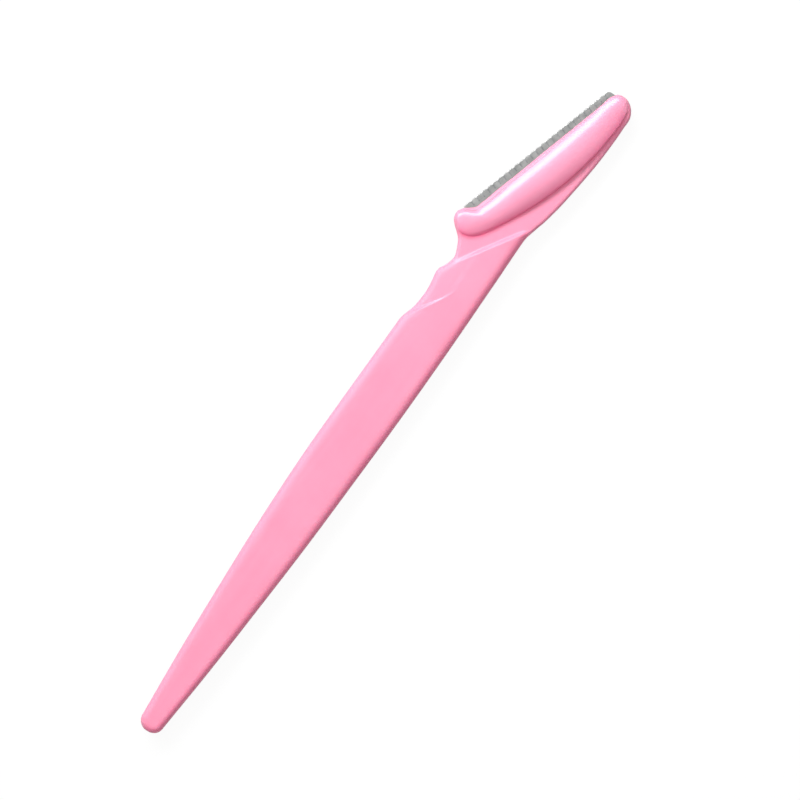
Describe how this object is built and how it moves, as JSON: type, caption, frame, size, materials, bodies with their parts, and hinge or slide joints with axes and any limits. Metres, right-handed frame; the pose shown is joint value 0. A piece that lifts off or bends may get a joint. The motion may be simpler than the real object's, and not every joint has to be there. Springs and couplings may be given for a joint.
{
  "type": "eyebrow razor",
  "caption": "Flat plastic eyebrow razor with a tapered grip, ridged neck, slanted head and a thin blade behind a slotted steel guard.",
  "frame": {"origin": "middle of the razor's box in plan, at the lowest point of the back cover, on which it lies", "axes": "+X from the blunt tip to the head, +Y to the side of the guarded edge, +Z out of the front face"},
  "size_m": [0.15, 0.017, 0.0048],
  "materials": {
    "pink_plastic": "soft gloss, moulded",
    "guard_steel": "rolled foil, satin",
    "blade_steel": "ground and polished"
  },
  "bodies": {
    "root": {"handle": "pink_plastic", "front_cover": "pink_plastic", "back_cover": "pink_plastic", "guard": "guard_steel", "blade": "blade_steel"}
  },
  "joints": []
}
